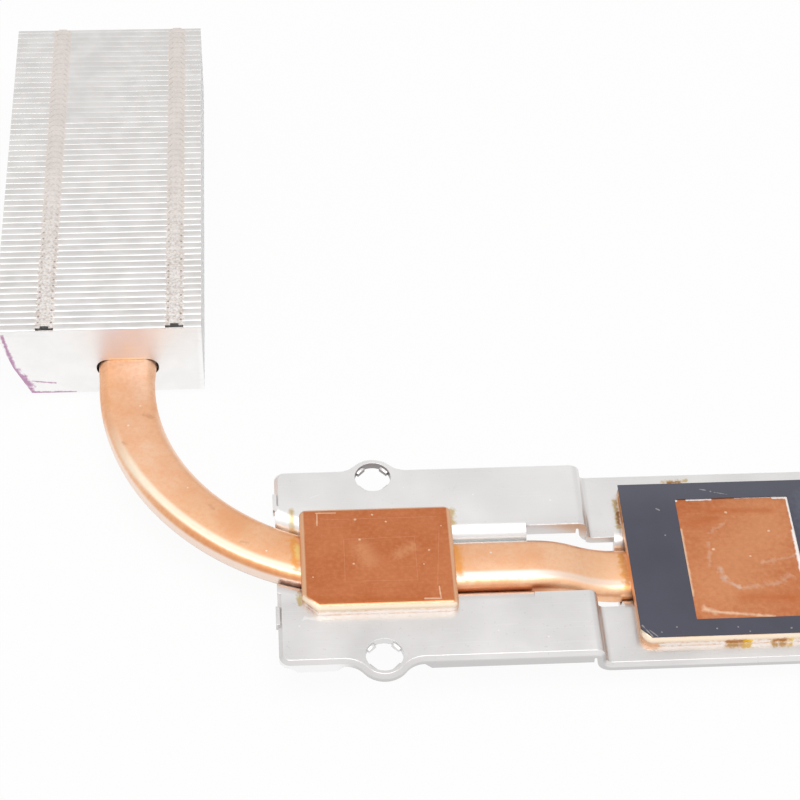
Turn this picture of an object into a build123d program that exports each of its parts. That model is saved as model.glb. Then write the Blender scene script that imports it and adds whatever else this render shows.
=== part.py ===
from build123d import *
from math import asin, atan2, cos, degrees, radians, sin, sqrt, tan
import os

# A laptop heatsink, contact side up. Millimetres, +Z up.
# The origin is the centre of the processor plate's contact face.
# A flattened heat pipe runs along +X under both copper plates, turns by a
# quarter circle and runs along +Y through a stack of folded foil fins.

# Copper contact plates
PLATE_THICKNESS = 1.5
PLATE_EDGE_ROUND = 0.5
CPU_PLATE_WIDTH = 19.5
CPU_PLATE_DEPTH = 15.8
CPU_CORNER_RADIUS = 0.9
CPU_CORNER_CHAMFER = 1.9
GPU_PLATE_WIDTH = 29.25
GPU_PLATE_DEPTH = 24.9
GPU_PLATE_LEFT = 32.35
GPU_PLATE_NEAR = -12.3
GPU_CORNER_CUT = 0.5
GPU_CORNER_RADIUS = 1.5

# Insulating film on the graphics plate, with a window for the chip
FILM_THICKNESS = 0.12
FILM_RIM = 0.3
FILM_LEFT_MARGIN = 7.25
FILM_NEAR_MARGIN = 2.8
FILM_WINDOW_WIDTH = 14.9
FILM_WINDOW_DEPTH = 19.15
FILM_CORNER_CLIP = 1.35

# Heat pipe: a round pipe pressed flat
PIPE_WIDTH = 7.5
PIPE_HEIGHT = 3.0
PIPE_SIDE_CHORDS = 4
PIPE_LINE_Y = -0.25
PIPE_BEND_RADIUS = 33.0
PIPE_BEND_END_X = 0.7
PIPE_STRAIGHT_BEFORE_FINS = 2.85
PIPE_PAST_FINS = 0.6
PIPE_END_TAPER = 2.2
PIPE_TIP_WIDTH = 3.2
PIPE_TIP_HEIGHT = 1.4
PIPE_END_INSET = 1.6

# Stamped bracket
SHEET = 1.1
SHEET_EDGE_ROUND = 0.5
SHEET_LEFT = -12.8
SHEET_FAR = 15.35
SHEET_NEAR = -14.9
SHEET_RIGHT_MARGIN = 3.1
SHEET_CORNER_RADIUS = 1.4
SHEET_CORNER_CUT = 1.0
LIP_HEIGHT = 0.9
NUB_LENGTH = 2.8
NUB_REACH = 0.25
NUB_FAR_Y = 10.1
NUB_NEAR_Y = -7.7

# Joggle between the upper and the lower half of the bracket
JOGGLE_DROP = 2.8
JOGGLE_X = 27.5
JOGGLE_RUN = 0.4
JOGGLE_UPPER_BEND = 0.15
JOGGLE_LOWER_BEND = 0.9

# Trough that holds the pipe, and the cut-out where the pipe slopes down
TROUGH_CLEARANCE = 0.12
TROUGH_ROLL = 2.2
TROUGH_FLOOR_BEND = 0.75
TROUGH_FLAT = 0.3
TROUGH_BEND_CHORDS = 3
CUTOUT_LEFT = 19.45
CUTOUT_RIGHT = 31.15
CUTOUT_UPPER_FAR = 5.2
CUTOUT_UPPER_NEAR = -5.3
CUTOUT_LOWER_FAR = 4.95
CUTOUT_LOWER_NEAR = -6.0

# Screw ears: round holes with four small guide tabs
EAR_SPACING = 27.9
EAR_CENTRE_X = 0.1
EAR_CENTRE_Y = -0.05
EAR_RADIUS = 3.3
EAR_BLEND = 3.0
EAR_HOLE_RADIUS = 2.35
EAR_TAB_RADIUS = 1.95
EAR_TAB_ANGLE = 36.0
EAR_TAB_COUNT = 4
EAR_TAB_START = 45.0
EAR_TAB_DEPTH = 0.5

# Fin stack
FIN_COUNT = 55
FIN_PITCH = 1.149
FIN_FOIL = 0.2
FIN_FOLD = 0.15
FIN_HEIGHT = 12.8
FIN_WIDTH = 27.7
FIN_RIGHT_OF_PIPE = 10.3
FIN_TOP_OVER_PIPE = 6.35
FIN_SLANT = ((0.0, 0.0), (1.9, 7.4), (4.0, 12.8))
FIN_HOLE_SIDE_GAP = 0.5
FIN_HOLE_TOP_GAP = 0.12
LAST_FLANGE_SHARE = 0.5

# Interlock between fins: a tapered tab in the next fin's slot
TRACK_FROM_LEFT = 6.7
TRACK_FROM_RIGHT = 3.6
SLOT_WIDE = 2.45
SLOT_NARROW = 1.15
SLOT_WIDE_DEPTH = 0.45
SLOT_DEPTH = 0.82
TAB_CLEARANCE = 0.08

# Levels and places that follow from the sizes above
sheet_top = -PLATE_THICKNESS
low_sheet_top = sheet_top - JOGGLE_DROP
pipe_z = sheet_top - PIPE_HEIGHT / 2
pipe_column_x = PIPE_BEND_END_X - PIPE_BEND_RADIUS
bend_centre = (PIPE_BEND_END_X, PIPE_LINE_Y + PIPE_BEND_RADIUS)
block_front = PIPE_LINE_Y + PIPE_BEND_RADIUS + PIPE_STRAIGHT_BEFORE_FINS
block_back = block_front + (FIN_COUNT - 1 + LAST_FLANGE_SHARE) * FIN_PITCH
block_right = pipe_column_x + FIN_RIGHT_OF_PIPE
block_left = block_right - FIN_WIDTH
block_top = sheet_top + FIN_TOP_OVER_PIPE
block_bottom = block_top - FIN_HEIGHT
gpu_plate_right = GPU_PLATE_LEFT + GPU_PLATE_WIDTH
gpu_plate_far = GPU_PLATE_NEAR + GPU_PLATE_DEPTH
sheet_right = gpu_plate_right + SHEET_RIGHT_MARGIN
trough_half = PIPE_WIDTH / 2 + TROUGH_CLEARANCE
trough_reach = trough_half + TROUGH_ROLL + TROUGH_FLAT


def extrude_up(sketch, z, thickness):
    return extrude(Plane.XY.offset(z) * sketch, thickness)


def plan_rectangle(left, right, near, far):
    return Pos((left + right) / 2, (near + far) / 2) * Rectangle(right - left, far - near)


# Heat pipe

def pipe_section(plane, width, height):
    """Flattened round section: two flats, joined at the sides by half circles of short chords."""
    radius = height / 2
    flat = width / 2 - radius
    points = []
    for side in (1, -1):
        for step in range(PIPE_SIDE_CHORDS + 1):
            angle = radians(90 - step * 180 / PIPE_SIDE_CHORDS)
            points.append((side * (flat + radius * cos(angle)), side * radius * sin(angle)))
    return plane * make_face(Polyline(*points, close=True))


def ramp_arc():
    """Radius and angle of the two equal arcs that lower the pipe at the cut-out."""
    run = CUTOUT_RIGHT - CUTOUT_LEFT
    radius = (run ** 2 + JOGGLE_DROP ** 2) / (4 * JOGGLE_DROP)
    return radius, degrees(2 * atan2(JOGGLE_DROP, run))


def section_along_x(x, z, width=PIPE_WIDTH, height=PIPE_HEIGHT):
    return pipe_section(Plane(origin=(x, PIPE_LINE_Y, z), x_dir=(0, 1, 0), z_dir=(1, 0, 0)), width, height)


def section_along_y(y, width=PIPE_WIDTH, height=PIPE_HEIGHT):
    plane = Plane(origin=(pipe_column_x, y, pipe_z), x_dir=(-1, 0, 0), z_dir=(0, 1, 0))
    return pipe_section(plane, width, height)


def tapered_end(wide_end, tip_end):
    """Closed end of the pipe, drawn in to a small flat tip."""
    return loft([wide_end.face(), tip_end.face()], ruled=True)


def make_heat_pipe():
    taper_y = block_back + PIPE_PAST_FINS
    in_fins = extrude(section_along_y(bend_centre[1]), taper_y - bend_centre[1])
    fin_end = tapered_end(section_along_y(taper_y),
                          section_along_y(taper_y + PIPE_END_TAPER, PIPE_TIP_WIDTH, PIPE_TIP_HEIGHT))
    bend = revolve(section_along_x(PIPE_BEND_END_X, pipe_z), Axis((*bend_centre, 0), (0, 0, -1)), 90)
    under_cpu = extrude(section_along_x(PIPE_BEND_END_X, pipe_z), CUTOUT_LEFT - PIPE_BEND_END_X)
    radius, angle = ramp_arc()
    down = revolve(section_along_x(CUTOUT_LEFT, pipe_z), Axis((CUTOUT_LEFT, 0, pipe_z - radius), (0, 1, 0)), angle)
    low_z = pipe_z - JOGGLE_DROP
    level = revolve(section_along_x(CUTOUT_RIGHT, low_z), Axis((CUTOUT_RIGHT, 0, low_z + radius), (0, 1, 0)), angle)
    tip_x = sheet_right - PIPE_END_INSET
    taper_x = tip_x - PIPE_END_TAPER
    under_gpu = extrude(section_along_x(CUTOUT_RIGHT, low_z), taper_x - CUTOUT_RIGHT)
    plate_end = tapered_end(section_along_x(taper_x, low_z),
                            section_along_x(tip_x, low_z, PIPE_TIP_WIDTH, PIPE_TIP_HEIGHT))
    return in_fins + fin_end + bend + under_cpu + down + level + under_gpu + plate_end


# Bracket

def sheet_section(plane, top_line, bottom_line):
    """Section of bent sheet between its upper line and its lower line."""
    ends = [Line(top_line @ 0, bottom_line @ 0), Line(top_line @ 1, bottom_line @ 1)]
    return plane * make_face(top_line.edges() + bottom_line.edges() + ends)


def square_bends(corners, radii):
    """Line through square corners, each rounded to its radius by a few chords."""
    points = [Vector(corners[0])]
    for before, corner, after, radius in zip(corners, corners[1:], corners[2:], radii):
        back = (Vector(before) - Vector(corner)).normalized()
        ahead = (Vector(after) - Vector(corner)).normalized()
        centre = Vector(corner) + (back + ahead) * radius
        for step in range(TROUGH_BEND_CHORDS + 1):
            turn = radians(step * 90 / TROUGH_BEND_CHORDS)
            points.append(centre - (ahead * cos(turn) + back * sin(turn)) * radius)
    points.append(Vector(corners[-1]))
    return Polyline(*points)


def joggled_strip(near, far):
    """The sheet's level halves and the joggle between them, from the near side to the far side."""
    slope = atan2(JOGGLE_DROP, JOGGLE_RUN)
    shift = SHEET * tan(slope / 2)
    x0 = JOGGLE_X - JOGGLE_RUN / 2
    x1 = JOGGLE_X + JOGGLE_RUN / 2
    upper = [(SHEET_LEFT, sheet_top), (x0, sheet_top), (x1, low_sheet_top), (sheet_right, low_sheet_top)]
    lower = [(SHEET_LEFT, sheet_top - SHEET), (x0 - shift, sheet_top - SHEET),
             (x1 - shift, low_sheet_top - SHEET), (sheet_right, low_sheet_top - SHEET)]
    plane = Plane(origin=(0, far, 0), x_dir=(1, 0, 0), z_dir=(0, -1, 0))
    top_line = FilletPolyline(*upper, radius=[JOGGLE_UPPER_BEND + SHEET, JOGGLE_LOWER_BEND])
    bottom_line = FilletPolyline(*lower, radius=[JOGGLE_UPPER_BEND, JOGGLE_LOWER_BEND + SHEET])
    return extrude(sheet_section(plane, top_line, bottom_line), far - near, dir=(0, -1, 0))


def ear_centres():
    return [(EAR_CENTRE_X, EAR_CENTRE_Y + side * EAR_SPACING / 2) for side in (-1, 1)]


def sheet_outline():
    """Plan of the bracket: a sheet with rounded and cut corners, and two ears with blended roots."""
    plan = plan_rectangle(SHEET_LEFT, sheet_right, SHEET_NEAR, SHEET_FAR)
    plan = fillet(plan.vertices().group_by(Axis.X)[0], SHEET_CORNER_RADIUS)
    plan = chamfer(plan.vertices().group_by(Axis.X)[-1], SHEET_CORNER_CUT)
    for centre in ear_centres():
        plan += Pos(*centre) * Circle(EAR_RADIUS)
    near_ears = plan.vertices().filter_by(lambda v: abs(v.X - EAR_CENTRE_X) < EAR_RADIUS)
    return fillet(near_ears, EAR_BLEND)


def ear_root(edge_y, centre_y):
    """Distance along the sheet's edge from an ear's centre to the end of its blend."""
    return sqrt((EAR_RADIUS + EAR_BLEND) ** 2 - (EAR_BLEND + abs(edge_y - centre_y)) ** 2)


def ear_tabs():
    """Guide tabs on the diagonals of an ear's hole, sunk below its rim."""
    half_width = EAR_TAB_RADIUS * tan(radians(EAR_TAB_ANGLE / 2))
    reach = EAR_HOLE_RADIUS - EAR_TAB_RADIUS
    tabs = Sketch()
    for turn in range(EAR_TAB_COUNT):
        angle = EAR_TAB_START + turn * 360 / EAR_TAB_COUNT
        tabs += Rot(0, 0, angle) * Pos(EAR_TAB_RADIUS + reach, 0) * Rectangle(2 * reach, 2 * half_width)
    return extrude_up(tabs, sheet_top - SHEET, SHEET - EAR_TAB_DEPTH)


def channel_plan():
    """Plan of the trough: straight runs under both plates and the start of the pipe's bend."""
    plan = Sketch()
    for x0, x1 in ((PIPE_BEND_END_X, CUTOUT_LEFT), (CUTOUT_RIGHT, sheet_right)):
        plan += Pos((x0 + x1) / 2, PIPE_LINE_Y) * Rectangle(x1 - x0, 2 * trough_reach)
    outer = PIPE_BEND_RADIUS + trough_reach
    ring = Pos(*bend_centre) * (Circle(outer) - Circle(PIPE_BEND_RADIUS - trough_reach))
    corner = Pos(PIPE_BEND_END_X - outer / 2, bend_centre[1] - outer / 2) * Rectangle(outer, outer)
    return plan + (ring & corner)


def trough_face(x, top):
    """Section of the trough across the pipe's line: roll, wall, floor, wall, roll."""
    wall = trough_half
    outer = wall + SHEET
    floor = -PIPE_HEIGHT
    upper = [(-trough_reach, 0), (-wall, 0), (-wall, floor), (wall, floor), (wall, 0), (trough_reach, 0)]
    lower = [(-trough_reach, -SHEET), (-outer, -SHEET), (-outer, floor - SHEET),
             (outer, floor - SHEET), (outer, -SHEET), (trough_reach, -SHEET)]
    plane = Plane(origin=(x, PIPE_LINE_Y, top), x_dir=(0, 1, 0), z_dir=(1, 0, 0))
    roll = TROUGH_ROLL
    inner_roll = TROUGH_ROLL - SHEET
    floor_bend = TROUGH_FLOOR_BEND
    outer_bend = TROUGH_FLOOR_BEND + SHEET
    return sheet_section(plane, square_bends(upper, [roll, floor_bend, floor_bend, roll]),
                         square_bends(lower, [inner_roll, outer_bend, outer_bend, inner_roll]))


def make_troughs():
    straight = extrude(trough_face(PIPE_BEND_END_X, sheet_top), CUTOUT_LEFT - PIPE_BEND_END_X, dir=(1, 0, 0))
    sweep = degrees(asin((PIPE_BEND_END_X - SHEET_LEFT) / (PIPE_BEND_RADIUS - trough_reach)))
    turn = revolve(trough_face(PIPE_BEND_END_X, sheet_top), Axis((*bend_centre, 0), (0, 0, -1)), sweep)
    room = 2 * PIPE_BEND_RADIUS
    turn -= Pos(SHEET_LEFT - room / 2, 0, 0) * Box(room, 2 * room, room)
    low = extrude(trough_face(CUTOUT_RIGHT, low_sheet_top), sheet_right - CUTOUT_RIGHT, dir=(1, 0, 0))
    return [straight, turn, low]


def make_lips():
    """Down-turned lips under the upper half: along both long edges and along the cut-out."""
    joggle_start = JOGGLE_X - JOGGLE_RUN / 2 - JOGGLE_UPPER_BEND - SHEET
    near_ear, far_ear = ear_centres()
    near_root = ear_root(SHEET_NEAR, near_ear[1])
    far_root = ear_root(SHEET_FAR, far_ear[1])
    near = SHEET_NEAR + SHEET / 2
    far = SHEET_FAR - SHEET / 2
    left = SHEET_LEFT + SHEET_CORNER_RADIUS
    spans = [
        (left, EAR_CENTRE_X - near_root, near),
        (EAR_CENTRE_X + near_root, joggle_start, near),
        (left, EAR_CENTRE_X - far_root, far),
        (EAR_CENTRE_X + far_root, joggle_start, far),
        (CUTOUT_LEFT, joggle_start, CUTOUT_UPPER_NEAR - SHEET / 2),
        (CUTOUT_LEFT, joggle_start, CUTOUT_UPPER_FAR + SHEET / 2),
    ]
    z = sheet_top - SHEET - LIP_HEIGHT / 2
    return [Pos((x0 + x1) / 2, y, z) * Box(x1 - x0, SHEET, LIP_HEIGHT) for x0, x1, y in spans]


def make_bracket():
    outline = sheet_outline()
    room = 2 * JOGGLE_DROP + 2 * SHEET
    sheet = joggled_strip(SHEET_NEAR - 2 * EAR_RADIUS, SHEET_FAR + 2 * EAR_RADIUS)
    sheet &= extrude_up(outline, sheet_top - room, 2 * room)
    upper_rim = sheet.faces().sort_by(Axis.Z)[-1].edges().filter_by(lambda e: e.center().X < JOGGLE_X - SHEET - 1)
    sheet = chamfer(upper_rim, SHEET_EDGE_ROUND)
    cuts = channel_plan()
    cuts += plan_rectangle(CUTOUT_LEFT, JOGGLE_X, CUTOUT_UPPER_NEAR, CUTOUT_UPPER_FAR)
    cuts += plan_rectangle(JOGGLE_X, CUTOUT_RIGHT, CUTOUT_LOWER_NEAR, CUTOUT_LOWER_FAR)
    for centre in ear_centres():
        cuts += Pos(*centre) * Circle(EAR_HOLE_RADIUS)
    sheet -= extrude_up(cuts, sheet_top - room, 2 * room)
    for centre in ear_centres():
        sheet += Pos(*centre) * ear_tabs()
    for y in (NUB_FAR_Y, NUB_NEAR_Y):
        sheet += Pos(SHEET_LEFT, y, sheet_top - SHEET / 2) * Box(2 * NUB_REACH, NUB_LENGTH, SHEET)
    for piece in make_troughs() + make_lips():
        sheet += piece
    return sheet


# Copper plates and film

def near_left_first(plan):
    return plan.vertices().sort_by(lambda v: v.X + v.Y)


def make_plate(outline, bottom):
    plate = extrude_up(outline, bottom, PLATE_THICKNESS)
    return chamfer(plate.faces().sort_by(Axis.Z)[-1].edges(), PLATE_EDGE_ROUND)


def make_cpu_plate():
    """Processor plate: rounded corners, and one corner cut off at the near left."""
    plan = chamfer(near_left_first(Rectangle(CPU_PLATE_WIDTH, CPU_PLATE_DEPTH))[0], CPU_CORNER_CHAMFER)
    return make_plate(fillet(near_left_first(plan)[2:], CPU_CORNER_RADIUS), sheet_top)


def make_gpu_plate():
    """Graphics plate: one rounded corner at the near left, the others cut off."""
    plan = plan_rectangle(GPU_PLATE_LEFT, gpu_plate_right, GPU_PLATE_NEAR, gpu_plate_far)
    plan = fillet(near_left_first(plan)[0], GPU_CORNER_RADIUS)
    return make_plate(chamfer(near_left_first(plan)[2:], GPU_CORNER_CUT), low_sheet_top)


def make_film():
    """Film flush with the plate's left side, with a narrow rim of copper left bare on the others."""
    film = plan_rectangle(GPU_PLATE_LEFT, gpu_plate_right - FILM_RIM, GPU_PLATE_NEAR + FILM_RIM,
                          gpu_plate_far - FILM_RIM)
    film = chamfer(near_left_first(film)[0], FILM_CORNER_CLIP)
    left = GPU_PLATE_LEFT + FILM_LEFT_MARGIN
    near = GPU_PLATE_NEAR + FILM_NEAR_MARGIN
    film -= plan_rectangle(left, left + FILM_WINDOW_WIDTH, near, near + FILM_WINDOW_DEPTH)
    return extrude_up(film, low_sheet_top + PLATE_THICKNESS, FILM_THICKNESS)


# Fins

def folded_foil(flange, fold):
    """Folded foil: a web at the front and a flange at its top and bottom."""
    plane = Plane(origin=(block_left, block_front, block_bottom), x_dir=(0, 1, 0), z_dir=(1, 0, 0))
    channel = Pos(flange / 2, FIN_HEIGHT / 2) * Rectangle(flange, FIN_HEIGHT)
    channel -= Pos(FIN_FOIL + flange / 2, FIN_HEIGHT / 2) * Rectangle(flange, FIN_HEIGHT - 2 * FIN_FOIL)
    if fold:
        channel = chamfer(channel.vertices().group_by(Axis.X)[0], fold)
    return extrude(plane * channel, FIN_WIDTH, dir=(1, 0, 0))


def across_fins(sketch, x, z, length):
    """A cut or limit that runs along +Y from the stack's front, drawn as seen from the front."""
    plane = Plane(origin=(x, block_front, z), x_dir=(1, 0, 0), z_dir=(0, -1, 0))
    return extrude(plane * sketch, length, dir=(0, 1, 0))


def fin_limits(length):
    """The stack's outline from the front, with its slanted left side."""
    slant = [(inset, -drop * FIN_HEIGHT / FIN_SLANT[-1][1]) for inset, drop in FIN_SLANT]
    corners = slant + [(FIN_WIDTH, -FIN_HEIGHT), (FIN_WIDTH, 0)]
    return across_fins(make_face(Polyline(*corners, close=True)), block_left, block_top, length)


def pipe_hole(rounded):
    """Hole for the pipe: round-ended in the first fin, plain in the ones behind it."""
    width = PIPE_WIDTH + 2 * FIN_HOLE_SIDE_GAP
    height = PIPE_HEIGHT + 2 * FIN_HOLE_TOP_GAP
    hole = RectangleRounded(width, height, PIPE_HEIGHT / 2) if rounded else Rectangle(width, height)
    return across_fins(hole, pipe_column_x, pipe_z, 2 * FIN_FOIL)


def track_lines():
    return [block_left + TRACK_FROM_LEFT, block_right - TRACK_FROM_RIGHT]


def lock_shape(gap, base_y):
    """Tapered tab or slot in the top flange, wide at its root."""
    wide = SLOT_WIDE / 2 - gap
    narrow = SLOT_NARROW / 2 - gap
    end = SLOT_DEPTH - gap
    corners = [(-wide, base_y), (wide, base_y), (narrow, base_y + end), (-narrow, base_y + end)]
    return make_face(Polyline(*corners, close=True))


def open_slot():
    """Stepped slot of the first fin, which holds no tab."""
    shape = Pos(0, SLOT_WIDE_DEPTH / 2) * Rectangle(SLOT_WIDE, SLOT_WIDE_DEPTH)
    return shape + Pos(0, SLOT_DEPTH / 2) * Rectangle(SLOT_NARROW, SLOT_DEPTH)


def in_top_flange(sketch, x):
    return extrude_up(Pos(x, block_front) * sketch, block_top - FIN_FOIL, FIN_FOIL)


def make_fin(first=False, last=False):
    flange = FIN_PITCH * (LAST_FLANGE_SHARE if last else 1)
    fin = folded_foil(flange, FIN_FOLD if first else 0) & fin_limits(FIN_PITCH)
    fin -= pipe_hole(rounded=first)
    for x in track_lines():
        fin -= in_top_flange(open_slot() if first else lock_shape(0, 0), x)
        if not last:
            fin += in_top_flange(lock_shape(TAB_CLEARANCE, flange), x)
    return fin


def export_node(shape, name):
    export_step(shape, f"parts/{name}.step")


def build():
    os.makedirs("parts", exist_ok=True)
    export_node(make_heat_pipe(), "heat_pipe")
    export_node(make_bracket(), "bracket")
    export_node(make_cpu_plate(), "cpu_plate")
    export_node(make_gpu_plate(), "gpu_plate")
    export_node(make_film(), "insulating_film")
    middle_fin = make_fin()
    for number in range(1, FIN_COUNT + 1):
        if number == 1:
            fin = make_fin(first=True)
        elif number == FIN_COUNT:
            fin = make_fin(last=True)
        else:
            fin = middle_fin
        export_node(Pos(0, (number - 1) * FIN_PITCH, 0) * fin, f"fin_{number:02d}")


build()
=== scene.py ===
import math

import bpy
from mathutils import Matrix, Vector


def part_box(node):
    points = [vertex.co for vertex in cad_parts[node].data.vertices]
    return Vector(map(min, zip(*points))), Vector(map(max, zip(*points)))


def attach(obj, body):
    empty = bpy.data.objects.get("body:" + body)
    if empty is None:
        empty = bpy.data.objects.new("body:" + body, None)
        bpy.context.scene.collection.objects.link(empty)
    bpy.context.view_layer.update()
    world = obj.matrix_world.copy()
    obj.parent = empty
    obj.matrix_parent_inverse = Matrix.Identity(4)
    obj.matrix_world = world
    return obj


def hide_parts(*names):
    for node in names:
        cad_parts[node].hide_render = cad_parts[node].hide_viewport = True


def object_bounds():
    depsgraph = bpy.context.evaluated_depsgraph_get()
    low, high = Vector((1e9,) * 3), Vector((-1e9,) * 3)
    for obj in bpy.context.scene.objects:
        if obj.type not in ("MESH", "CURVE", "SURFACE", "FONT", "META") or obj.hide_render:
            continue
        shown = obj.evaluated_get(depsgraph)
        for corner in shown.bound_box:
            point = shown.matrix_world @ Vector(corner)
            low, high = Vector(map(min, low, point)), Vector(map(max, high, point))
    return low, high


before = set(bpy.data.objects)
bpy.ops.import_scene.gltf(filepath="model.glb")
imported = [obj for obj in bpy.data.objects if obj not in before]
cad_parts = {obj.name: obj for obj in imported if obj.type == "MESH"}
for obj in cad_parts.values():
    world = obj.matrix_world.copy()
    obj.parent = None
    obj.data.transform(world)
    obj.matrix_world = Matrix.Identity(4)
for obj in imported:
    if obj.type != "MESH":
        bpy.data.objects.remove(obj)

cad_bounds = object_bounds()
MM = 0.001

# Sizes of the pipe and its way, in metres
PIPE_WIDTH = 7.5 * MM
PIPE_HEIGHT = 3.0 * MM
PIPE_LINE_Y = -0.25 * MM
PIPE_BEND_RADIUS = 33.0 * MM
PIPE_BEND_END_X = 0.7 * MM
PIPE_END_TAPER = 2.2 * MM
PIPE_TIP_WIDTH = 3.2 * MM
PIPE_TIP_HEIGHT = 1.4 * MM
JOGGLE_DROP = 2.8 * MM
CUTOUT_LEFT = 19.45 * MM
CUTOUT_RIGHT = 31.15 * MM

# How much the pipe's ends are pinched, and how much the pipe swells to fill the fins' holes
PIPE_TIP_SCALE = (PIPE_TIP_WIDTH / PIPE_WIDTH, PIPE_TIP_HEIGHT / PIPE_HEIGHT)
PIPE_FIN_WIDENING = 1.05
PIPE_FIN_THICKENING = 1.07

# Steps of the pipe's ring, of each half of its joggle and of its bend
PIPE_RING_STEPS = 34
PIPE_JOGGLE_STEPS = 8
PIPE_BEND_STEPS = 40

# Small sizes of the rims, folds and tabs, in metres, and how much rounder near folds are than far ones
FIN_FOLD_ROUND = 0.14 * MM
FAR_FOLD_LOSS = 0.8
TAB_WIDENING = 0.06 * MM
PLATE_RIM_ROUND = 0.22 * MM
SHEET_RIM_ROUND = 0.12 * MM

# Merging and telling places apart, in metres
SAME_POINT = 0.002 * MM
NEAR = 0.01 * MM

# Degrees: what counts as flat, what as a sharp edge, and up to what bend the shading is smooth
FLAT_ANGLE = 0.5
SHARP_ANGLE = 33
SMOOTH_ANGLE = 50
PIPE_SMOOTH_ANGLE = 35

# Ends of the stiffening lips, in millimetres: where they stand and how far each slopes along X
LIP_ENDS = ((-11.4, 0.8), (-4.85, -0.9), (-4.36, -0.9), (4.56, 0.9), (5.05, 0.9))
LIP_FROM_Y = 13.5
LIP_BELOW_Z = -3.4

# The stack's pitch and the places of its tabs, in millimetres
FIN_PITCH = 1.149
TRACK_FROM_LEFT = 6.7
TRACK_FROM_RIGHT = 3.6
TAB_HALF_WIDTH = 1.3
TAB_TIP_FROM = 0.3

# Levels and places that follow from the frame and the sizes above, in millimetres
first_fin_low, first_fin_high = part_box("fin_01")
UPPER_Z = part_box("bracket")[1].z / MM
LOW_Z = UPPER_Z - JOGGLE_DROP / MM
FILM_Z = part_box("insulating_film")[1].z / MM
WINDOW_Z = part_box("gpu_plate")[1].z / MM
FRONT_Y = first_fin_low.y / MM
TOP_Z = first_fin_high.z / MM
FIN_TRACKS = (first_fin_low.x / MM + TRACK_FROM_LEFT, first_fin_high.x / MM - TRACK_FROM_RIGHT)
BEND_CENTRE = (PIPE_BEND_END_X / MM, (PIPE_LINE_Y + PIPE_BEND_RADIUS) / MM)

# The camera: place in metres, angles in degrees, lens in millimetres
CAMERA_PLACE = (-13.850 * MM, -162.174 * MM, 216.931 * MM)
CAMERA_DOWN = 48.957
CAMERA_TURN = 5.5416
CAMERA_ROLL = 2.6660
CAMERA_LENS = 96.51

# The room: its light on matt things, its far side in metal, the floor and the lamp
ROOM_LIGHT = 0.55
ROOM_FAR_SIDE = 0.85
FLOOR_SIZE = 3
FLOOR_GLOW = 0.94
FLOOR_GREY = 0.9
LAMP_PLACE = (0.0, -0.06, 0.60)
LAMP_SIZE = 0.55
LAMP_POWER = 1.6

pipe_z = UPPER_Z * MM - PIPE_HEIGHT / 2
floor_z = cad_bounds[0][2]


# Working with pieces

def only(piece):
    bpy.ops.object.select_all(action="DESELECT")
    piece.select_set(True)
    bpy.context.view_layer.objects.active = piece


def open_piece(piece):
    only(piece)
    bpy.ops.object.mode_set(mode="EDIT")
    bpy.ops.mesh.select_mode(type="VERT")
    bpy.ops.mesh.select_all(action="DESELECT")


def close_piece():
    bpy.ops.object.mode_set(mode="OBJECT")


def pick(piece, chosen):
    """Selects the open piece's vertices for which chosen says yes."""
    bpy.ops.mesh.select_all(action="DESELECT")
    bpy.ops.object.mode_set(mode="OBJECT")
    for vertex in piece.data.vertices:
        vertex.select = chosen(vertex)
    bpy.ops.object.mode_set(mode="EDIT")


def move(x=0, y=0):
    bpy.ops.transform.translate(value=(x, y, 0))


def draw_out(x=0, y=0):
    """Extrudes the open end of a tube and leaves the new end selected."""
    bpy.ops.mesh.extrude_edges_move(TRANSFORM_OT_translate={"value": (x, y, 0)})


def apply_modifiers(piece):
    only(piece)
    for modifier in list(piece.modifiers):
        bpy.ops.object.modifier_apply(modifier=modifier.name)


def settle(piece):
    """Puts the piece's place into its mesh."""
    only(piece)
    bpy.ops.object.transform_apply(location=True, rotation=True, scale=True)


def copy_of(node, name):
    """A merged copy of a CAD node's mesh, with its flat faces joined."""
    piece = bpy.data.objects.new(name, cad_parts[node].data.copy())
    bpy.context.scene.collection.objects.link(piece)
    only(piece)
    if piece.data.has_custom_normals:
        bpy.ops.mesh.customdata_custom_splitnormals_clear()
    open_piece(piece)
    bpy.ops.mesh.select_all(action="SELECT")
    bpy.ops.mesh.remove_doubles(threshold=SAME_POINT)
    bpy.ops.mesh.dissolve_limited(angle_limit=math.radians(FLAT_ANGLE))
    close_piece()
    piece.data.materials.clear()
    return piece


def finish_piece(piece, material, slot, *nodes):
    piece.data.materials.clear()
    piece.data.materials.append(material)
    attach(piece, "root")
    if nodes:
        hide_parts(*nodes)


# Building materials from nodes

def new_material(name):
    material = bpy.data.materials.new(name)
    material.use_nodes = True
    material.node_tree.nodes.clear()
    return material


def add(tree, kind, inputs=None, **settings):
    """A new node; its inputs are set to a number or colour, or linked to another node's output."""
    node = tree.nodes.new(kind)
    for key, value in settings.items():
        setattr(node, key, value)
    for key, value in (inputs or {}).items():
        if isinstance(value, bpy.types.NodeSocket):
            tree.links.new(value, node.inputs[key])
        else:
            node.inputs[key].default_value = value
    return node


def reckon(tree, operation, first, second=0.0, clamp=False):
    """Sums with numbers or other nodes' outputs."""
    inputs = {0: first, 1: second}
    return add(tree, "ShaderNodeMath", inputs, operation=operation, use_clamp=clamp).outputs[0]


def times(tree, first, *others):
    for other in others:
        first = reckon(tree, "MULTIPLY", first, other)
    return first


def vectors(tree, operation, first, second=None, scale=None):
    inputs = {0: first}
    if second is not None:
        inputs[1] = second
    if scale is not None:
        inputs["Scale"] = scale
    node = add(tree, "ShaderNodeVectorMath", inputs, operation=operation)
    return node.outputs["Value" if operation in ("LENGTH", "DOT_PRODUCT") else "Vector"]


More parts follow.
